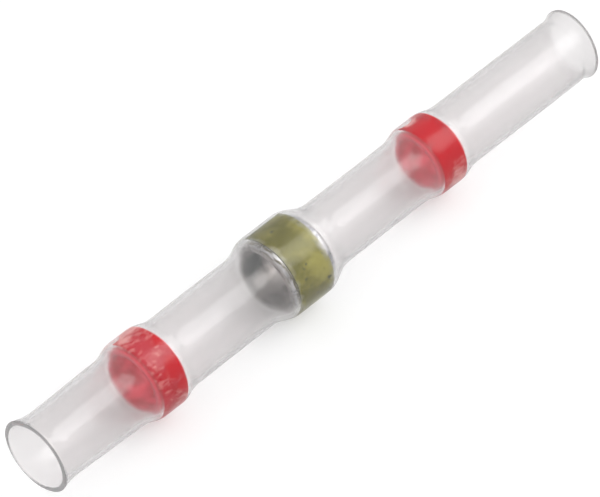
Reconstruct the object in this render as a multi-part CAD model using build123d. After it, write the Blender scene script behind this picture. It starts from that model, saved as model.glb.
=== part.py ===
from build123d import *
import os

# Driving dimensions in millimetres, radii from the tube's axis, near end at -X and far end at +X

# Sleeve, cut from clear shrink tubing
sleeve_length = 40.0
sleeve_wall = 0.28
near_cut_reach = 17.95
near_throat_bore = 1.66
near_neck_bore = 1.77
near_span_bore = 1.79
far_span_bore = 1.59
far_end_bore = 1.59

# Flared mouths of the sleeve
near_lip_flare = 0.20
near_lip_length = 1.1
far_lip_flare = 0.20
far_lip_length = 1.0

# Shoulders, where the sleeve climbs onto a ring and drops off it
seal_shoulder_run = 0.90
solder_near_shoulder_run = 1.10
solder_far_shoulder_run = 1.50
foot_ease = 0.45
crown_ease = 0.22

# Sealing rings, cut from a hot-melt tube and broken at their outer edges
seal_ring_width = 1.95
seal_ring_wall = 0.45
seal_ring_edge = 0.20
near_seal_radius = 2.06
near_seal_reach = 10.2
far_seal_radius = 1.82
far_seal_reach = 10.85

# Solder ring in the middle, with a flux coat on its level crown that leaves both rims bare
solder_ring_width = 3.1
solder_ring_wall = 0.40
solder_ring_radius = 2.15
solder_ring_rounding = 0.32
flux_thickness = 0.03
flux_bare_rim = 0.03

# Clearance between the sleeve and what it has shrunk onto
seat_clearance = 0.015

# Places worked out from the driving dimensions, with the middle of the solder ring at the origin
near_cut_x = -near_cut_reach
far_cut_x = sleeve_length - near_cut_reach
near_throat_x = near_cut_x + near_lip_length
far_throat_x = far_cut_x - far_lip_length
near_seal_x = -near_seal_reach
far_seal_x = far_seal_reach
flux_radius = solder_ring_radius + flux_thickness
flux_width = solder_ring_width - 2 * (solder_ring_rounding + flux_bare_rim)


def ease(foot, crown):
    """A stretch of the sleeve's wall that leaves the tube gently and turns tightly at the crown."""
    run = crown[0] - foot[0]
    foot_guide = (foot[0] + foot_ease * run, foot[1])
    crown_guide = (crown[0] - crown_ease * run, crown[1])
    return Bezier(foot, foot_guide, crown_guide, crown)


def over_ring(middle, width, radius, edge, near_foot, far_foot):
    """The wall from one foot over a ring to the other foot, clear of the ring by the seat's clearance."""
    half_crown = width / 2 - edge
    crown_radius = radius + seat_clearance
    near_crown = (middle - half_crown, crown_radius)
    far_crown = (middle + half_crown, crown_radius)
    return [ease(near_foot, near_crown), Line(near_crown, far_crown), ease(far_foot, far_crown)]


def wall_line(depth):
    """One side of the sleeve's wall from cut to cut, at a depth outwards from the bore."""
    half_seal = seal_ring_width / 2
    half_solder = solder_ring_width / 2
    near_neck = (near_seal_x - half_seal - seal_shoulder_run, near_neck_bore + depth)
    near_seal_foot = (near_seal_x + half_seal + seal_shoulder_run, near_span_bore + depth)
    near_solder_foot = (-half_solder - solder_near_shoulder_run, near_span_bore + depth)
    far_solder_foot = (half_solder + solder_far_shoulder_run, far_span_bore + depth)
    far_seal_foot = (far_seal_x - half_seal - seal_shoulder_run, far_span_bore + depth)
    far_neck = (far_seal_x + half_seal + seal_shoulder_run, far_end_bore + depth)
    near_throat = (near_throat_x, near_throat_bore + depth)
    far_throat = (far_throat_x, far_end_bore + depth)
    near_lip = (near_cut_x, near_throat_bore + near_lip_flare + depth)
    far_lip = (far_cut_x, far_end_bore + far_lip_flare + depth)
    edges = [flare(near_throat, near_lip), Line(near_throat, near_neck)]
    edges += over_ring(
        near_seal_x, seal_ring_width, near_seal_radius + depth, seal_ring_edge,
        near_neck, near_seal_foot,
    )
    edges.append(Line(near_seal_foot, near_solder_foot))
    edges += over_ring(
        0, solder_ring_width, flux_radius + depth, solder_ring_rounding,
        near_solder_foot, far_solder_foot,
    )
    edges.append(Line(far_solder_foot, far_seal_foot))
    edges += over_ring(
        far_seal_x, seal_ring_width, far_seal_radius + depth, seal_ring_edge,
        far_seal_foot, far_neck,
    )
    edges += [Line(far_neck, far_throat), flare(far_throat, far_lip)]
    return edges


def flare(throat, lip):
    """A trumpet mouth, level at its throat and steepest at the cut."""
    return Bezier(throat, ((throat[0] + lip[0]) / 2, throat[1]), lip)


def turned(edges):
    """A solid of revolution about X from the edges of a closed profile."""
    profile = make_face(edges)
    return revolve(profile, Axis.X, 360)


def sleeve():
    """The clear tube, shrunk over the three rings with a wall of even thickness."""
    bore = wall_line(0)
    skin = wall_line(sleeve_wall)
    near_cut = Line(bore[0] @ 1, skin[0] @ 1)
    far_cut = Line(bore[-1] @ 1, skin[-1] @ 1)
    return turned(bore + skin + [near_cut, far_cut])


def ring_of(middle, width, radius, wall, near_corner, far_corner):
    """A ring about X, closed between the two outer corners that it is given."""
    near_face_x = middle - width / 2
    far_face_x = middle + width / 2
    near_bore = (near_face_x, radius - wall)
    far_bore = (far_face_x, radius - wall)
    crown = Line(near_corner @ 1, far_corner @ 1)
    near_face = Line(near_bore, near_corner @ 0)
    far_face = Line(far_bore, far_corner @ 0)
    return turned([Line(near_bore, far_bore), near_face, near_corner, crown, far_corner, far_face])


def seal_ring(middle, radius):
    """A sealing ring, with its outer edges broken at a slant where the sleeve bends over them."""
    corners = []
    for side in (-1, 1):
        face_x = middle + side * seal_ring_width / 2
        corners.append(Line((face_x, radius - seal_ring_edge), (face_x - side * seal_ring_edge, radius)))
    return ring_of(middle, seal_ring_width, radius, seal_ring_wall, *corners)


def solder_ring():
    """The solder ring, with its outer edges rounded."""
    corners = []
    for side in (-1, 1):
        face_x = side * solder_ring_width / 2
        foot = (face_x, solder_ring_radius - solder_ring_rounding)
        crown = (face_x - side * solder_ring_rounding, solder_ring_radius)
        corners.append(Bezier(foot, (face_x, solder_ring_radius), crown))
    return ring_of(0, solder_ring_width, solder_ring_radius, solder_ring_wall, *corners)


def flux_coat():
    """A thin film round the solder ring's crown."""
    film = Rectangle(flux_width, flux_thickness)
    return revolve(Pos(0, solder_ring_radius + flux_thickness / 2) * film, Axis.X, 360)


nodes = {
    "shrink_sleeve": sleeve(),
    "near_sealing_ring": seal_ring(near_seal_x, near_seal_radius),
    "far_sealing_ring": seal_ring(far_seal_x, far_seal_radius),
    "solder_ring": solder_ring(),
    "flux_coat": flux_coat(),
}

os.makedirs("parts", exist_ok=True)
for name, solid in nodes.items():
    export_step(solid, f"parts/{name}.step")
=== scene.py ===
import math

import bpy
import numpy as np
from mathutils import Matrix, Vector, noise

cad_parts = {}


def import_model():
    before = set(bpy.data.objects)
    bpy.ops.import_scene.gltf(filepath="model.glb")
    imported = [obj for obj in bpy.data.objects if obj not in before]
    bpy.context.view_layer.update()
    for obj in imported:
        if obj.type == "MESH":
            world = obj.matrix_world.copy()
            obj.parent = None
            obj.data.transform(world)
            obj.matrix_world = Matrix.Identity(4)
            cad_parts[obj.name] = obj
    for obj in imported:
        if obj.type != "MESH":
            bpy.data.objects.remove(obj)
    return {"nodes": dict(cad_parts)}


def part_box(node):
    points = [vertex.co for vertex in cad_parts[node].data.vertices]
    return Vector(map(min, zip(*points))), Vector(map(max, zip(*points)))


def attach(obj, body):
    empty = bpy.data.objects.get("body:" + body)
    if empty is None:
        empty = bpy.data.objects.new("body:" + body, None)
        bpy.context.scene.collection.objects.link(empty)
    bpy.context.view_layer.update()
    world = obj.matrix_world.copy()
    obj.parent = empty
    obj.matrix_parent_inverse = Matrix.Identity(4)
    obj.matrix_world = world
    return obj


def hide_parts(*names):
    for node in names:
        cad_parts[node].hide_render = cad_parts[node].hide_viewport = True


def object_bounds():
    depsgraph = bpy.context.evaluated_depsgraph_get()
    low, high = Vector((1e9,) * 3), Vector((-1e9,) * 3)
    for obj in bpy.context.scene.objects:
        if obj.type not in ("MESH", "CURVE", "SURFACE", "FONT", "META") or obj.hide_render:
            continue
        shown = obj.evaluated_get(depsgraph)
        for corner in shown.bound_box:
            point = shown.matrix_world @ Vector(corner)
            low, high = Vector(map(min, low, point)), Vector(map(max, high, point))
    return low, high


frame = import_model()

cad_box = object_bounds()
MM = 0.001

# Camera, at the photograph's viewing angle
CAMERA_ELEVATION = math.radians(48.0)
CAMERA_TURN = math.radians(46.1)
CAMERA_DISTANCE = 300 * MM
CAMERA_TARGET = Vector((1.302, 0.192, 0.091)) * MM
FOCAL_PIXELS = 5800.9
PHOTO_WIDTH = 600
SENSOR_WIDTH = 36.0
CLIP_START = 10 * MM

# Light: the world's strength at the horizon and overhead, and the lamps' places, sizes and watts
WORLD_HORIZON = 0.23
WORLD_ZENITH = 0.72
OVERHEAD_PLACE = (0.24, -0.14, 0.40)
OVERHEAD_SIZE = 0.34
OVERHEAD_POWER = 0.72
FAR_CARD_PLACE = (0.46, 0.0, 0.19)
FAR_CARD_SIZE = 0.24
FAR_CARD_POWER = 0.30
FLOOR_REACH = 2.0
FLOOR_COLOUR = (0.74, 0.74, 0.74)
FLOOR_GLOW = 0.44

# Skins of the rings, raised into the sleeve's wall where they have wetted it, and sunk at a gap
WETTED_RISE = 0.03 * MM
GAP_DIP = 0.06 * MM

# Patches on the rings, each as a place along the axis, an angle round it in degrees from +Y
# towards +Z, and a reach
NEAR_GAPS = ((-10.8 * MM, 36, 0.55 * MM),)
NEAR_DRY = ((-10.6 * MM, 46, 0.9 * MM), (-9.9 * MM, 42, 0.9 * MM), (-9.7 * MM, 198, 0.5 * MM))
NEAR_DEEP = ((-9.7 * MM, 138, 0.9 * MM), (-9.5 * MM, 96, 0.5 * MM), (-9.6 * MM, 168, 0.5 * MM))
FAR_GAPS = ((10.6 * MM, 34, 0.6 * MM),)
FAR_DRY = ((11.1 * MM, 186, 0.9 * MM), (10.7 * MM, 46, 0.6 * MM))
FAR_DEEP = ((10.8 * MM, 140, 1.6 * MM), (10.6 * MM, 90, 1.2 * MM), (10.2 * MM, 180, 0.7 * MM))
# Painted shade: dark patches in the solder ring's bore, standing for a dark reflection there
BORE_PAINTED_SHADE = ((-0.7 * MM, 346, 0.85 * MM), (-1.0 * MM, 338, 0.7 * MM))
# Painted reflection: light patches in the solder ring's bore, standing for a bright reflected
# wedge
BORE_PAINTED_LIGHT = ((0.1 * MM, 312, 0.5 * MM), (-0.4 * MM, 311, 0.5 * MM), (-0.9 * MM, 308, 0.45 * MM))
FLUX_GAPS = tuple((x * MM, 28, 0.78 * MM) for x in (-1.0, -0.5, 0.0, 0.5, 1.0))

# Uneven mouths of the sleeve: the near one sags, and the far one is cut at a slant, with a tuck
# behind its flare
MOUTH_REACH = 3.0 * MM
NEAR_SAG = 0.19 * MM
NEAR_SAG_TURN = math.radians(335)
FAR_SLANT = 0.16 * MM
FAR_SLANT_TURN = math.radians(32)
FAR_TUCK = 0.05 * MM
FAR_TUCK_REACH = 1.0 * MM

# Lumps of the sleeve's wall, drawn out along the axis, with none close to the solder ring's middle
LUMP = 0.02 * MM
LUMP_SIZE = 2.4 * MM
LUMP_STRETCH = 0.5
SMOOTH_REACH = 3.0 * MM

# Milkiness of the sleeve: in its wall, towards its far end, at its cuts and where seen edge on
WALL_MILK = (0.005, 0.035)
END_MILK = 0.10
NEAR_CUT_MILK = 0.5
FAR_CUT_MILK = 0.55
EDGE_MILK = 0.5
EDGE_BLEND = 0.14
HAZY_FROM = 18.5 * MM
TIGHT_EDGE = 0.25 * MM

# Cut faces of the sleeve: how deep they show, and which side of the near one shows most
CUT_DEPTH = 0.05 * MM
CUT_TURN = math.radians(150)
CUT_FADE = (-1.6 * MM, 0.6 * MM)
CUT_FAINTEST = 0.15

# Depths under a ring's outer radius where a paint begins and where it is full, going outwards
MELT_FACE = (0.40 * MM, 0.34 * MM)
MELT_SKIN = (0.14 * MM, 0.08 * MM)
MELT_LINE = (0.11 * MM, 0.085 * MM)
MELT_LINE_END = (0.07 * MM, 0.045 * MM)
SOLDER_SKIN = (0.16 * MM, 0.08 * MM)

# A sealing ring's far edge, painted darker as painted shade, as depths back from its end, and the
# solder's stained near rim
MELT_SHADED_EDGE = (0.22 * MM, 0.12 * MM)
SOLDER_STAIN = (-1.1 * MM, -1.25 * MM)

# Wear of the flux: its shift along the axis, the reach of its tears, and how far past the film's
# half width, tears counted in, it thins out and is gone
FLUX_SHIFT = 0.06 * MM
FLUX_TEAR = 0.9 * MM
FLUX_THIN = (0.16 * MM, 0.42 * MM)
FLUX_BARE = (0.40 * MM, 0.60 * MM)

# Colours of the sleeve
WALL_LOOSE = (0.846, 0.829, 0.831)
WALL_TIGHT = (0.97, 0.965, 0.965)
WALL_CUT = (0.62, 0.615, 0.62)
WALL_SHADOW = (0.98, 0.98, 0.98)

# Colours of the sealing rings. Their two reds and their wear differ from ring to ring
NEAR_REDS = (0.52, 0.003, 0.015), (0.58, 0.036, 0.055)
NEAR_WORN = 0.46
FAR_REDS = (0.48, 0.001, 0.011), (0.50, 0.005, 0.020)
FAR_WORN = 0.1
SCUFFED = (0.80, 0.36, 0.34)
DEEP_RED = (0.60, 0.002, 0.012)
CHALKY = (0.80, 0.37, 0.35)
# Painted shade: the darker red of a sealing ring's far edge
EDGE_PAINTED_SHADE = (0.36, 0.003, 0.010)
# Pinks of the bore and end face: the resin's own paler inside, lightened as painted light glowing
# through the resin
BORE_PINKS_AND_GLOW = (0.58, 0.002, 0.022), (0.92, 0.05, 0.105)
FACE_PINK_AND_GLOW = (0.90, 0.07, 0.11)
LINE_RED = (0.70, 0.008, 0.028)

# Colours of the solder and of the flux on it
SOLDER_BRIGHT = (0.26, 0.26, 0.27), (0.68, 0.67, 0.68)
# Painted shade: the darker solder colours of the bore and end faces
SOLDER_SHADED_BORE = (0.27, 0.26, 0.25), (0.42, 0.40, 0.385)
# Painted reflection: colour of the light wedge in the solder ring's bore
SOLDER_PAINTED_LIGHT = (0.74, 0.71, 0.68)
# Painted shade: colour of the dark patch in the solder ring's bore
SOLDER_PAINTED_SHADE = (0.05, 0.07, 0.065)
SOLDER_STAINED = (0.17, 0.15, 0.11)
FLUX_OLIVES = (0.155, 0.143, 0.033), (0.40, 0.363, 0.10)
FLUX_THINNED = (0.34, 0.33, 0.25)
FLUX_PIT = (0.10, 0.10, 0.05)
FLUX_WORN_OFF = (0.62, 0.61, 0.60)

# Fineness of the turned meshes
SLEEVE_AROUND = 160
RING_AROUND = 128
SLEEVE_STEP = 0.16 * MM
RING_STEP = 0.08 * MM
ROUNDING_STEPS = 4

# Rounding of each piece's edges, softening of the sleeve's bends, and how squarely a face of the
# CAD mesh looks along the axis when it belongs to a cut or an end
SLEEVE_RIM = 0.05 * MM
MELT_RIM = 0.05 * MM
SOLDER_RIM = 0.03 * MM
FLUX_RIM = 0.008 * MM
SOFTENING = 0.22 * MM
END_FACE = 0.98


# Shapes

def wall_of(node, outward):
    """The corners (x, radius) along the outer or inner wall of a turned node, in order of x."""
    mesh = frame["nodes"][node].data
    corners = {}
    for polygon in mesh.polygons:
        middle = polygon.center
        reach = math.hypot(middle.y, middle.z)
        facing = (polygon.normal.y * middle.y + polygon.normal.z * middle.z) / reach
        if abs(polygon.normal.x) > END_FACE or (facing > 0) != outward:
            continue
        for index in polygon.vertices:
            point = mesh.vertices[index].co
            corners[round(point.x, 7)] = math.hypot(point.y, point.z)
    places = sorted(corners)
    return np.array(places), np.array([corners[x] for x in places])


def eased(places, radii, wanted):
    """A smooth curve through the corners that never bulges past them."""
    run = np.diff(places)
    slope = np.diff(radii) / run
    lean = np.zeros(len(places))
    for i in range(1, len(places) - 1):
        before, after = slope[i - 1], slope[i]
        if before * after > 0:
            near, far = run[i] * 2 + run[i - 1], run[i] + run[i - 1] * 2
            lean[i] = (near + far) / (near / before + far / after)
    at = np.clip(np.searchsorted(places, wanted) - 1, 0, len(run) - 1)
    t = np.clip((wanted - places[at]) / run[at], 0, 1)
    start = radii[at] * (2 * t**3 - 3 * t**2 + 1) + lean[at] * run[at] * (t**3 - 2 * t**2 + t)
    return start + radii[at + 1] * (3 * t**2 - 2 * t**3) + lean[at + 1] * run[at] * (t**3 - t**2)


def softened(node, outward, places, soft):
    """The radii of a turned node's wall, averaged over soft to each side."""
    corners = wall_of(node, outward)
    inside = [np.clip(places + shift, places[0], places[-1]) for shift in (-soft, 0, 0, soft)]
    return sum(eased(*corners, each) for each in inside) / len(inside)


def section(node, step, rim, soft):
    """The closed section (x, radius) of a turned node, with its four edges rounded by rim."""
    low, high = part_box(node)
    near, far = low[0] + rim, high[0] - rim
    count = int((high[0] - low[0] - 2 * rim) / step) + 2
    places = np.linspace(near, far, count)
    skin, bore = (softened(node, outward, places, soft) for outward in (True, False))
    angles = np.radians(np.linspace(0, 90, ROUNDING_STEPS + 1))
    turn = [(rim * math.sin(a), rim * math.cos(a)) for a in angles]
    loop = list(zip(places, skin))
    loop += [(far + s, skin[-1] - rim + c) for s, c in turn[1:]]
    loop += [(far + c, bore[-1] + rim - s) for s, c in turn]
    loop += list(zip(places[::-1], bore[::-1]))[1:]
    loop += [(near - s, bore[0] + rim - c) for s, c in turn[1:]]
    loop += [(near - c, skin[0] - rim + s) for s, c in turn[:-1]]
    return loop


def turned(name, node, around, step, rim, soft, place):
    """A closed mesh turned from a node's section. place gives a point from (x, radius, angle)."""
    loop = section(node, step, rim, soft)
    angles = np.linspace(0, 2 * math.pi, around, endpoint=False)
    corners = [place(x, r, a) for x, r in loop for a in angles]
    faces = []
    for i in range(len(loop)):
        here, there = i * around, (i + 1) % len(loop) * around
        for j in range(around):
            k = (j + 1) % around
            faces.append((here + k, there + k, there + j, here + j))
    mesh = bpy.data.meshes.new(name)
    mesh.from_pydata(corners, [], faces)
    mesh.update()
    mesh.shade_smooth()
    piece = bpy.data.objects.new(name, mesh)
    bpy.context.scene.collection.objects.link(piece)
    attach(piece, "root")
    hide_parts(node)
    return piece


def polar(x, r, a):
    """The point at a place along the axis, a radius and an angle round it from +Y towards +Z."""
    return (x, r * math.cos(a), r * math.sin(a))


def slumped(x, r, a):
    """A point of the sleeve, with its uneven mouths and its lumps."""
    near = max(0.0, 1 - (x - cad_box[0][0]) / MOUTH_REACH)
    far = max(0.0, 1 - (cad_box[1][0] - x) / MOUTH_REACH)
    r += NEAR_SAG * near**2 * max(0.0, math.cos(a - NEAR_SAG_TURN))
    lip = min(1.0, (cad_box[1][0] - x) / FAR_TUCK_REACH)
    r -= FAR_TUCK * 4 * lip * (1 - lip)
    uneven = min(1.0, max(0.0, abs(x) / SMOOTH_REACH - 1))
    place = Vector((x * LUMP_STRETCH / LUMP_SIZE, math.cos(a), math.sin(a)))
    r += LUMP * uneven * noise.noise(place) * (1 - near) * (1 - far)
    return polar(x + FAR_SLANT * far**2 * math.cos(a - FAR_SLANT_TURN), r, a)


def wetted(node, gaps):
    """A place function that raises a ring's skin into the sleeve's wall and sinks its gaps."""
    radii = wall_of(node, True)[1]
    split = (radii.max() + wall_of(node, False)[1].min()) / 2
    centres = [Vector(polar(x, radii.max(), math.radians(a))) for x, a, reach in gaps]

    def place(x, r, a):
        if r < split:
            return polar(x, r, a)
        point = Vector(polar(x, r, a))
        lift = WETTED_RISE
        for centre, (_, _, reach) in zip(centres, gaps):
            near = max(0.0, 1 - (point - centre).length / reach)
            lift -= GAP_DIP * min(1.0, near * 2)
        return polar(x, r + max(lift, -GAP_DIP / 2), a)
    return place


# Materials

class Paint:
    """A material under construction, with helpers that add nodes and wire them up."""

    def __init__(self, name):
        self.made = bpy.data.materials.new(name)
        self.made.use_nodes = True
        self.nodes = self.made.node_tree.nodes
        self.links = self.made.node_tree.links
        self.shader = self.nodes["Principled BSDF"]
        self.place = self.nodes.new("ShaderNodeTexCoord").outputs["Object"]

    def feed(self, socket, value):
        if isinstance(value, bpy.types.NodeSocket):
            self.links.new(value, socket)
        elif isinstance(value, tuple) and len(value) == 3 and len(socket.default_value) == 4:
            socket.default_value = (*value, 1)
        else:
            socket.default_value = value

    def set(self, **values):
        """Feed the shader's sockets, whose names are given with _ for each space."""
        for name, value in values.items():
            self.feed(self.shader.inputs[name.replace("_", " ")], value)

    def maths(self, operation, *values, clamp=False):
        node = self.nodes.new("ShaderNodeMath")
        node.operation = operation
        node.use_clamp = clamp
        for socket, value in zip(node.inputs, values):
            self.feed(socket, value)
        return node.outputs[0]

    def vector(self, operation, *values):
        node = self.nodes.new("ShaderNodeVectorMath")
        node.operation = operation
        for socket, value in zip(node.inputs, values):
            self.feed(socket, value)
        return node.outputs

    def rescale(self, value, low, high, to_low=0.0, to_high=1.0):
        node = self.nodes.new("ShaderNodeMapRange")
        node.interpolation_type = "SMOOTHSTEP"
        for name, given in (("Value", value), ("From Min", low), ("From Max", high),
                            ("To Min", to_low), ("To Max", to_high)):
            self.feed(node.inputs[name], given)
        return node.outputs["Result"]

    def grain(self, scale, stretch=(1, 1, 1), detail=4.0, rough=0.55, at=None):
        """Noise at scale per metre, drawn out by stretch, over the place or coordinates given."""
        node = self.nodes.new("ShaderNodeTexNoise")
        drawn_out = self.vector("MULTIPLY", at or self.place, stretch)["Vector"]
        self.feed(node.inputs["Vector"], drawn_out)
        self.feed(node.inputs["Scale"], scale)
        self.feed(node.inputs["Detail"], detail)
        self.feed(node.inputs["Roughness"], rough)
        return node.outputs["Fac"]

    def mix(self, factor, first, second):
        """first where factor is 0 and second where it is 1, each a colour or a socket."""
        node = self.nodes.new("ShaderNodeMix")
        node.data_type = "RGBA"
        self.feed(node.inputs["Factor"], factor)
        self.feed(node.inputs["A"], first)
        self.feed(node.inputs["B"], second)
        return node.outputs["Result"]

    def bump(self, source, strength, distance):
        node = self.nodes.new("ShaderNodeBump")
        self.feed(node.inputs["Strength"], strength)
        self.feed(node.inputs["Distance"], distance)
        self.feed(node.inputs["Height"], source)
        self.set(Normal=node.outputs["Normal"])

    def radius(self):
        off_axis = self.vector("MULTIPLY", self.place, (0, 1, 1))["Vector"]
        return self.vector("LENGTH", off_axis)["Value"]

    def towards(self, direction):
        """How far each point lies from the origin in a direction."""
        return self.vector("DOT_PRODUCT", self.place, direction)["Value"]

    def along(self):
        return self.towards((1, 0, 0))

    def round_about(self):
        """Coordinates that change along the axis and away from it, and slowly round it."""
        node = self.nodes.new("ShaderNodeCombineXYZ")
        self.feed(node.inputs["X"], self.along())
        self.feed(node.inputs["Y"], self.radius())
        self.feed(node.inputs["Z"], self.towards((0, 0.2, 0.14)))
        return node.outputs["Vector"]

    def outwards(self, outer, depths, *ends):
        """0 up to the first depth under an outer radius and 1 from the second, or those ends."""
        return self.rescale(self.radius(), outer - depths[0], outer - depths[1], *ends)

    def over(self, node, soft):
        """1 over a node's stretch of the axis and 0 off it."""
        low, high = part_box(node)
        x = self.along()
        into = self.rescale(x, low[0] - soft, low[0] + soft)
        out_of = self.rescale(x, high[0] - soft, high[0] + soft, 1.0, 0.0)
        return self.maths("MULTIPLY", into, out_of)

    def spots(self, radius, patches, tear):
        """1 at the patches on a wall of that radius, with edges torn by tear, and 0 elsewhere."""
        ragged = self.rescale(tear, 0.3, 0.7, 0.7, 1.3)
        total = 0.0
        for x, a, reach in patches:
            away = self.vector("DISTANCE", self.place, polar(x, radius, math.radians(a)))["Value"]
            spot = self.rescale(self.maths("MULTIPLY", away, ragged), reach, reach * 0.5)
            total = self.maths("MAXIMUM", total, spot)
        return total


def cuts(paint):
    """1 at the sleeve's near cut, fading round it from one side, and 1 at its slanted far cut."""
    near = paint.rescale(paint.along(), cad_box[0][0] + CUT_DEPTH, cad_box[0][0])
    side = paint.towards((0, math.cos(CUT_TURN), math.sin(CUT_TURN)))
    lean = FAR_SLANT / wall_of("shrink_sleeve", True)[1][-1]
    square_to_cut = (1, -lean * math.cos(FAR_SLANT_TURN), -lean * math.sin(FAR_SLANT_TURN))
    far = paint.rescale(paint.towards(square_to_cut), cad_box[1][0] - CUT_DEPTH, cad_box[1][0])
    return paint.maths("MULTIPLY", near, paint.rescale(side, *CUT_FADE, CUT_FAINTEST, 1.0)), far


def pass_shadows(paint, colour):
    """Let shadow rays straight through a material, tinted by a colour."""
    path = paint.nodes.new("ShaderNodeLightPath")
    through = paint.nodes.new("ShaderNodeBsdfTransparent")
    shaded = paint.nodes.new("ShaderNodeMixShader")
    paint.feed(through.inputs["Color"], colour)
    paint.links.new(path.outputs["Is Shadow Ray"], shaded.inputs["Fac"])
    paint.links.new(paint.shader.outputs["BSDF"], shaded.inputs[1])
    paint.links.new(through.outputs["BSDF"], shaded.inputs[2])
    paint.links.new(shaded.outputs["Shader"], paint.nodes["Material Output"].inputs["Surface"])


def clear_tubing():
    """Clear, slightly milky tubing, clearest where it is stretched tight over a ring."""
    paint = Paint("clear_tubing")
    haze = paint.grain(260, (0.25, 1, 1))
    tight = 0.0
    for node in ("near_sealing_ring", "far_sealing_ring", "solder_ring"):
        tight = paint.maths("MAXIMUM", tight, paint.over(node, TIGHT_EDGE))
    loose = paint.maths("SUBTRACT", 1.0, tight)
    end = paint.rescale(paint.along(), HAZY_FROM, cad_box[1][0])
    near_cut, far_cut = cuts(paint)
    edge_on = paint.nodes.new("ShaderNodeLayerWeight")
    edge_on.inputs["Blend"].default_value = EDGE_BLEND
    edge = paint.maths("MULTIPLY", edge_on.outputs["Facing"], loose)
    milk = paint.maths("MULTIPLY", paint.rescale(haze, 0.3, 0.7, *WALL_MILK), loose)
    milky = ((end, END_MILK), (near_cut, NEAR_CUT_MILK),
             (far_cut, FAR_CUT_MILK), (edge, EDGE_MILK))
    for where, share in milky:
        milk = paint.maths("MULTIPLY_ADD", where, share, milk)
    rough = paint.rescale(haze, 0.3, 0.7, 0.15, 0.20)
    paint.set(
        Base_Color=paint.mix(near_cut, paint.mix(tight, WALL_LOOSE, WALL_TIGHT), WALL_CUT),
        IOR=1.49,
        Roughness=paint.maths("MULTIPLY_ADD", paint.maths("ADD", end, tight), 0.05, rough),
        Transmission_Weight=paint.maths("SUBTRACT", 1.0, milk, clamp=True),
    )
    paint.bump(paint.grain(800, (0.06, 1, 1), 2), 0.06, 0.01 * MM)
    pass_shadows(paint, WALL_SHADOW)
    return paint.made


def hot_melt(name, node, dry, deep, reds, worn):
    """Translucent red resin, deep where it is wetted, pale where it is dry, and pink inside,
    painted lighter there as painted light glowing through the resin.
    """
    paint = Paint(name)
    outer = wall_of(node, True)[1].max()
    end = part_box(node)[1][0]
    cloud = paint.grain(520, (1, 1, 1), 5, 0.6)
    tear = paint.grain(1500, (1, 1, 1), 6)
    streak = paint.grain(1100, (0.35, 1, 1), 4)
    body = paint.mix(paint.rescale(cloud, 0.42, 0.62), *reds)
    scuff = paint.rescale(paint.grain(3600, (0.4, 1, 1), 5, 0.7), 0.50, 0.62, 0.0, worn)
    body = paint.mix(scuff, body, SCUFFED)
    body = paint.mix(paint.spots(outer, deep, tear), body, DEEP_RED)
    streaky = paint.rescale(streak, 0.38, 0.56)
    chalk = paint.maths("MULTIPLY", paint.spots(outer, dry, tear), streaky)
    body = paint.mix(chalk, body, CHALKY)
    # Painted shade: the ring's far edge is painted a darker red
    edge = paint.rescale(paint.along(), end - MELT_SHADED_EDGE[0], end - MELT_SHADED_EDGE[1], 0.0, 0.8)
    body = paint.mix(edge, body, EDGE_PAINTED_SHADE)
    # Painted light: the bore and end face are painted a lighter pink than the skin, over the
    # resin's own mottling
    blotch = paint.rescale(paint.grain(1300, (1, 1, 1), 5, 0.6), 0.40, 0.62)
    pink_and_glow = paint.mix(blotch, *BORE_PINKS_AND_GLOW)
    pink_and_glow = paint.mix(paint.outwards(outer, MELT_FACE), pink_and_glow, FACE_PINK_AND_GLOW)
    skin = paint.outwards(outer, MELT_SKIN)
    line = paint.maths("MULTIPLY", paint.outwards(outer, MELT_LINE),
                       paint.outwards(outer, MELT_LINE_END, 1.0, 0.0))
    paint.set(
        Base_Color=paint.mix(line, paint.mix(skin, pink_and_glow, body), LINE_RED),
        Roughness=paint.rescale(cloud, 0.3, 0.7, 0.28, 0.42),
        Specular_IOR_Level=0.05,
        Coat_Weight=paint.rescale(skin, 0.0, 1.0, 0.35, 0.0),
        Coat_Roughness=0.18,
        Subsurface_Weight=0.7,
        Subsurface_Radius=(1.0, 0.25, 0.25),
        Subsurface_Scale=0.5 * MM,
    )
    paint.bump(tear, 0.3, 0.02 * MM)
    return paint.made


def solder():
    """Soft bright solder, painted darker and less metallic in its bore and end faces as painted
    shade.
    """
    paint = Paint("solder")
    outer = wall_of("solder_ring", True)[1].max()
    bore = wall_of("solder_ring", False)[1].min()
    grain = paint.grain(1300, (1, 1, 1), 5)
    bright = paint.mix(paint.rescale(grain, 0.35, 0.65), *SOLDER_BRIGHT)
    # Painted shade: the bore and end faces get darker solder than the outer skin
    shaded_bore = paint.mix(paint.rescale(grain, 0.4, 0.6), *SOLDER_SHADED_BORE)
    # Painted reflection: a light wedge in the bore
    shaded_bore = paint.mix(paint.spots(bore, BORE_PAINTED_LIGHT, grain), shaded_bore, SOLDER_PAINTED_LIGHT)
    # Painted shade: a dark patch in the bore
    shaded_bore = paint.mix(paint.spots(bore, BORE_PAINTED_SHADE, grain), shaded_bore, SOLDER_PAINTED_SHADE)
    thread = paint.grain(6000, (1, 1, 1), 3, at=paint.round_about())
    darkest = paint.rescale(thread, 0.42, 0.56, 0.1, 1.0)
    stain = paint.rescale(paint.along(), *SOLDER_STAIN, 0.0, darkest)
    bright = paint.mix(stain, bright, SOLDER_STAINED)
    skin = paint.outwards(outer, SOLDER_SKIN)
    paint.set(
        Base_Color=paint.mix(skin, shaded_bore, bright),
        Metallic=paint.rescale(skin, 0.0, 1.0, 0.5, 1.0),
        Roughness=paint.rescale(grain, 0.3, 0.7, 0.22, 0.42),
    )
    paint.bump(grain, 0.4, 0.03 * MM)
    return paint.made


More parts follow.
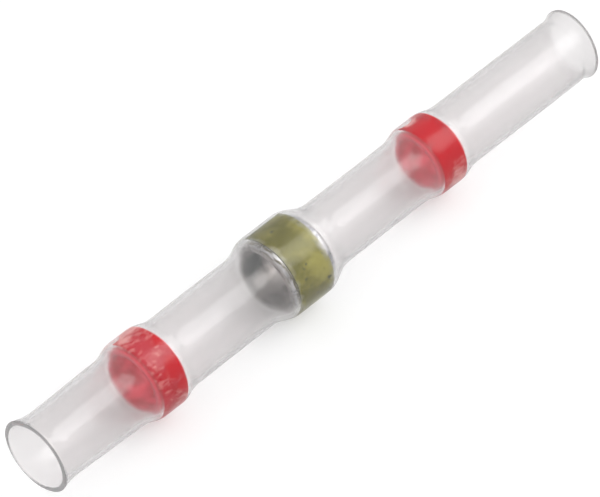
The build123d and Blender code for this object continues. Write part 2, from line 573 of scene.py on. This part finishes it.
def flux():
    """A satin olive film with pits, worn through to the solder along its edges."""
    paint = Paint("flux_film")
    low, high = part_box("flux_coat")
    half = (high[0] - low[0]) / 2
    cloud = paint.grain(600, (0.7, 1, 1))
    fine = paint.grain(2400, (1, 1, 1), 5)
    off = paint.maths("ABSOLUTE", paint.maths("ADD", paint.along(), FLUX_SHIFT))
    torn = paint.maths("MULTIPLY_ADD", paint.grain(1400, (1, 1, 1), 5), FLUX_TEAR, off)
    thin = paint.rescale(torn, half + FLUX_THIN[0], half + FLUX_THIN[1], 0.0, 0.7)
    bare = paint.rescale(torn, half + FLUX_BARE[0], half + FLUX_BARE[1])
    olive = paint.mix(paint.rescale(cloud, 0.35, 0.65), *FLUX_OLIVES)
    olive = paint.mix(thin, olive, FLUX_THINNED)
    olive = paint.mix(paint.rescale(fine, 0.62, 0.68), olive, FLUX_PIT)
    paint.set(
        Base_Color=paint.mix(bare, olive, FLUX_WORN_OFF),
        Metallic=paint.maths("MULTIPLY_ADD", bare, 0.4, 0.6),
        Roughness=paint.rescale(cloud, 0.3, 0.7, 0.32, 0.42),
    )
    dome = paint.maths("POWER", paint.maths("DIVIDE", paint.along(), half), 2.0)
    uneven = paint.maths("MULTIPLY_ADD", paint.grain(900, (1, 1, 1), 2), 8.0, fine)
    paint.bump(paint.maths("MULTIPLY_ADD", dome, -6.0, uneven), 0.3, 0.03 * MM)
    return paint.made


# Pieces

def dress(name, node, made, rim, place, around=RING_AROUND, step=RING_STEP, soft=0):
    """A piece that stands for a node, in the material made for it."""
    turned(name, node, around, step, rim, soft, place).data.materials.append(made)


near_melt = hot_melt(
    "near_hot_melt", "near_sealing_ring", NEAR_DRY, NEAR_DEEP, NEAR_REDS, NEAR_WORN)
far_melt = hot_melt(
    "far_hot_melt", "far_sealing_ring", FAR_DRY, FAR_DEEP, FAR_REDS, FAR_WORN)
dress("clear_sleeve", "shrink_sleeve", clear_tubing(), SLEEVE_RIM, slumped,
      SLEEVE_AROUND, SLEEVE_STEP, SOFTENING)
dress("near_hot_melt_ring", "near_sealing_ring", near_melt, MELT_RIM,
      wetted("near_sealing_ring", NEAR_GAPS))
dress("far_hot_melt_ring", "far_sealing_ring", far_melt, MELT_RIM,
      wetted("far_sealing_ring", FAR_GAPS))
dress("solder_preform", "solder_ring", solder(), SOLDER_RIM, polar)
dress("flux_film", "flux_coat", flux(), FLUX_RIM, wetted("flux_coat", FLUX_GAPS))


# Stage

def sees_background(nodes, links):
    """1 for rays that show the background, seen, mirrored or through the object, else 0."""
    path = nodes.new("ShaderNodeLightPath")
    seen = path.outputs["Is Camera Ray"]
    for kind in ("Is Glossy Ray", "Is Transmission Ray"):
        either = nodes.new("ShaderNodeMath")
        either.operation = "MAXIMUM"
        links.new(seen, either.inputs[0])
        links.new(path.outputs[kind], either.inputs[1])
        seen = either.outputs[0]
    return seen


def floor():
    """A pale floor under the object, white to the eye, that keeps the object's shadow."""
    sides = ((-1, -1), (1, -1), (1, 1), (-1, 1))
    corners = [(x * FLOOR_REACH, y * FLOOR_REACH, cad_box[0][2]) for x, y in sides]
    mesh = bpy.data.meshes.new("floor")
    mesh.from_pydata(corners, [], [(0, 1, 2, 3)])
    piece = bpy.data.objects.new("floor", mesh)
    bpy.context.scene.collection.objects.link(piece)
    paint = Paint("pale_floor")
    seen = sees_background(paint.nodes, paint.links)
    paint.set(
        Base_Color=FLOOR_COLOUR,
        Roughness=0.9,
        Specular_IOR_Level=0.0,
        Emission_Color=(1.0, 1.0, 1.0),
        Emission_Strength=paint.maths("MULTIPLY", seen, FLOOR_GLOW),
    )
    mesh.materials.append(paint.made)


def lamp(name, place, size, power):
    """A square lamp aimed at the origin."""
    data = bpy.data.lights.new(name, "AREA")
    data.size = size
    data.energy = power
    lit = bpy.data.objects.new(name, data)
    bpy.context.scene.collection.objects.link(lit)
    facing = Vector(place).to_track_quat("Z", "Y").to_matrix().to_4x4()
    lit.matrix_world = Matrix.Translation(place) @ facing


def world():
    """White light from all round, weakest at the horizon, in front of a white background."""
    made = bpy.data.worlds.new("studio")
    bpy.context.scene.world = made
    made.use_nodes = True
    nodes, links = made.node_tree.nodes, made.node_tree.links
    apart = nodes.new("ShaderNodeSeparateXYZ")
    height = nodes.new("ShaderNodeMapRange")
    height.inputs["To Min"].default_value = WORLD_HORIZON
    height.inputs["To Max"].default_value = WORLD_ZENITH
    links.new(nodes.new("ShaderNodeTexCoord").outputs["Generated"], apart.inputs["Vector"])
    links.new(apart.outputs["Z"], height.inputs["Value"])
    strength = nodes.new("ShaderNodeMath")
    strength.operation = "MAXIMUM"
    links.new(height.outputs["Result"], strength.inputs[0])
    links.new(sees_background(nodes, links), strength.inputs[1])
    links.new(strength.outputs[0], nodes["Background"].inputs["Strength"])
    nodes["Background"].inputs["Color"].default_value = (1, 1, 1, 1)


def camera():
    """The camera, looking at its target from the photograph's angle."""
    back = Vector((
        -math.sin(CAMERA_TURN) * math.cos(CAMERA_ELEVATION),
        -math.cos(CAMERA_TURN) * math.cos(CAMERA_ELEVATION),
        math.sin(CAMERA_ELEVATION),
    ))
    data = bpy.data.cameras.new("camera")
    data.sensor_fit = "HORIZONTAL"
    data.sensor_width = SENSOR_WIDTH
    data.lens = FOCAL_PIXELS / PHOTO_WIDTH * SENSOR_WIDTH
    data.clip_start = CLIP_START
    made = bpy.data.objects.new("camera", data)
    bpy.context.scene.collection.objects.link(made)
    facing = back.to_track_quat("Z", "Y").to_matrix().to_4x4()
    made.matrix_world = Matrix.Translation(CAMERA_TARGET + back * CAMERA_DISTANCE) @ facing
    bpy.context.scene.camera = made


floor()
world()
lamp("soft_overhead", OVERHEAD_PLACE, OVERHEAD_SIZE, OVERHEAD_POWER)
lamp("far_card", FAR_CARD_PLACE, FAR_CARD_SIZE, FAR_CARD_POWER)
camera()
bpy.context.scene.view_settings.view_transform = "Standard"
